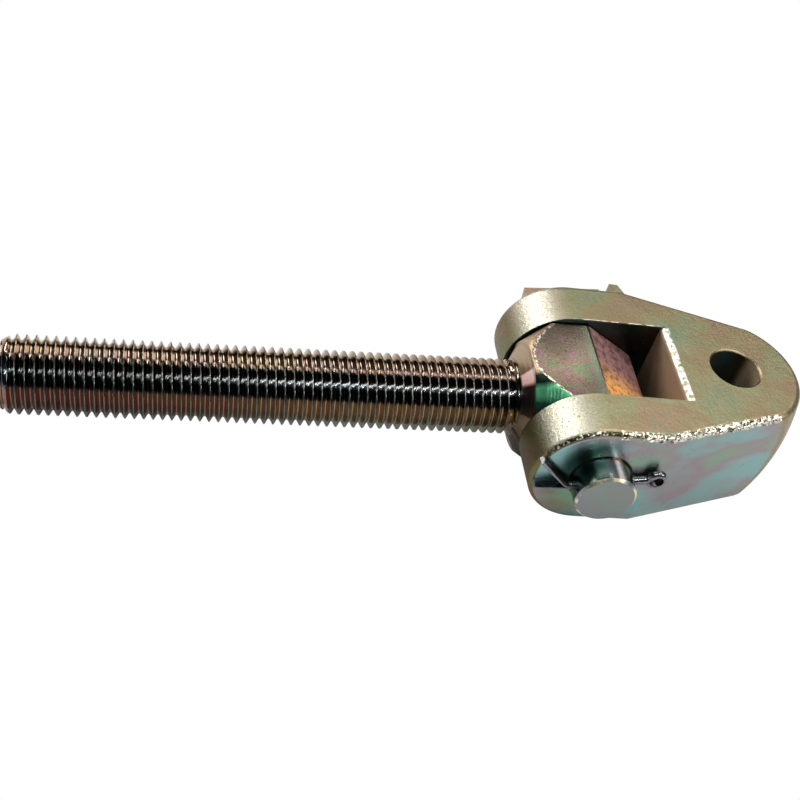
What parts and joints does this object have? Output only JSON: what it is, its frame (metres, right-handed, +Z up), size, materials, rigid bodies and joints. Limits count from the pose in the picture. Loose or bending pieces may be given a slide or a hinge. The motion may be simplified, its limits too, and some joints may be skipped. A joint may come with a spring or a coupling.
{
  "type": "clevis rod end",
  "caption": "Threaded spindle whose forged head swings on a cross pin in a tapered fork with a bolt hole: a hinged rod end for a linkage or tie.",
  "frame": {"origin": "the middle of the fork's tongue hole", "axes": "+X from the spindle to the fork's nose, +Y along the cross pin to its head, +Z up along the tongue hole"},
  "size_m": [0.3158, 0.104, 0.05],
  "materials": {
    "fork": "yellow zinc plated forging",
    "threaded_spindle": "yellow zinc plated, dark rolled thread",
    "cross_pin": "yellow zinc plated",
    "split_pin": "bright drawn wire"
  },
  "bodies": {
    "fork": {"fork": "fork", "cross_pin": "cross_pin", "split_pin": "split_pin"},
    "spindle": {"threaded_spindle": "threaded_spindle"}
  },
  "joints": [
    {"name": "pin_hinge", "type": "hinge", "parent": "fork", "child": "spindle", "pos_m": [-0.06, 0, 0], "axis": [0, 1, 0], "range_deg": [-118, 123]}
  ]
}
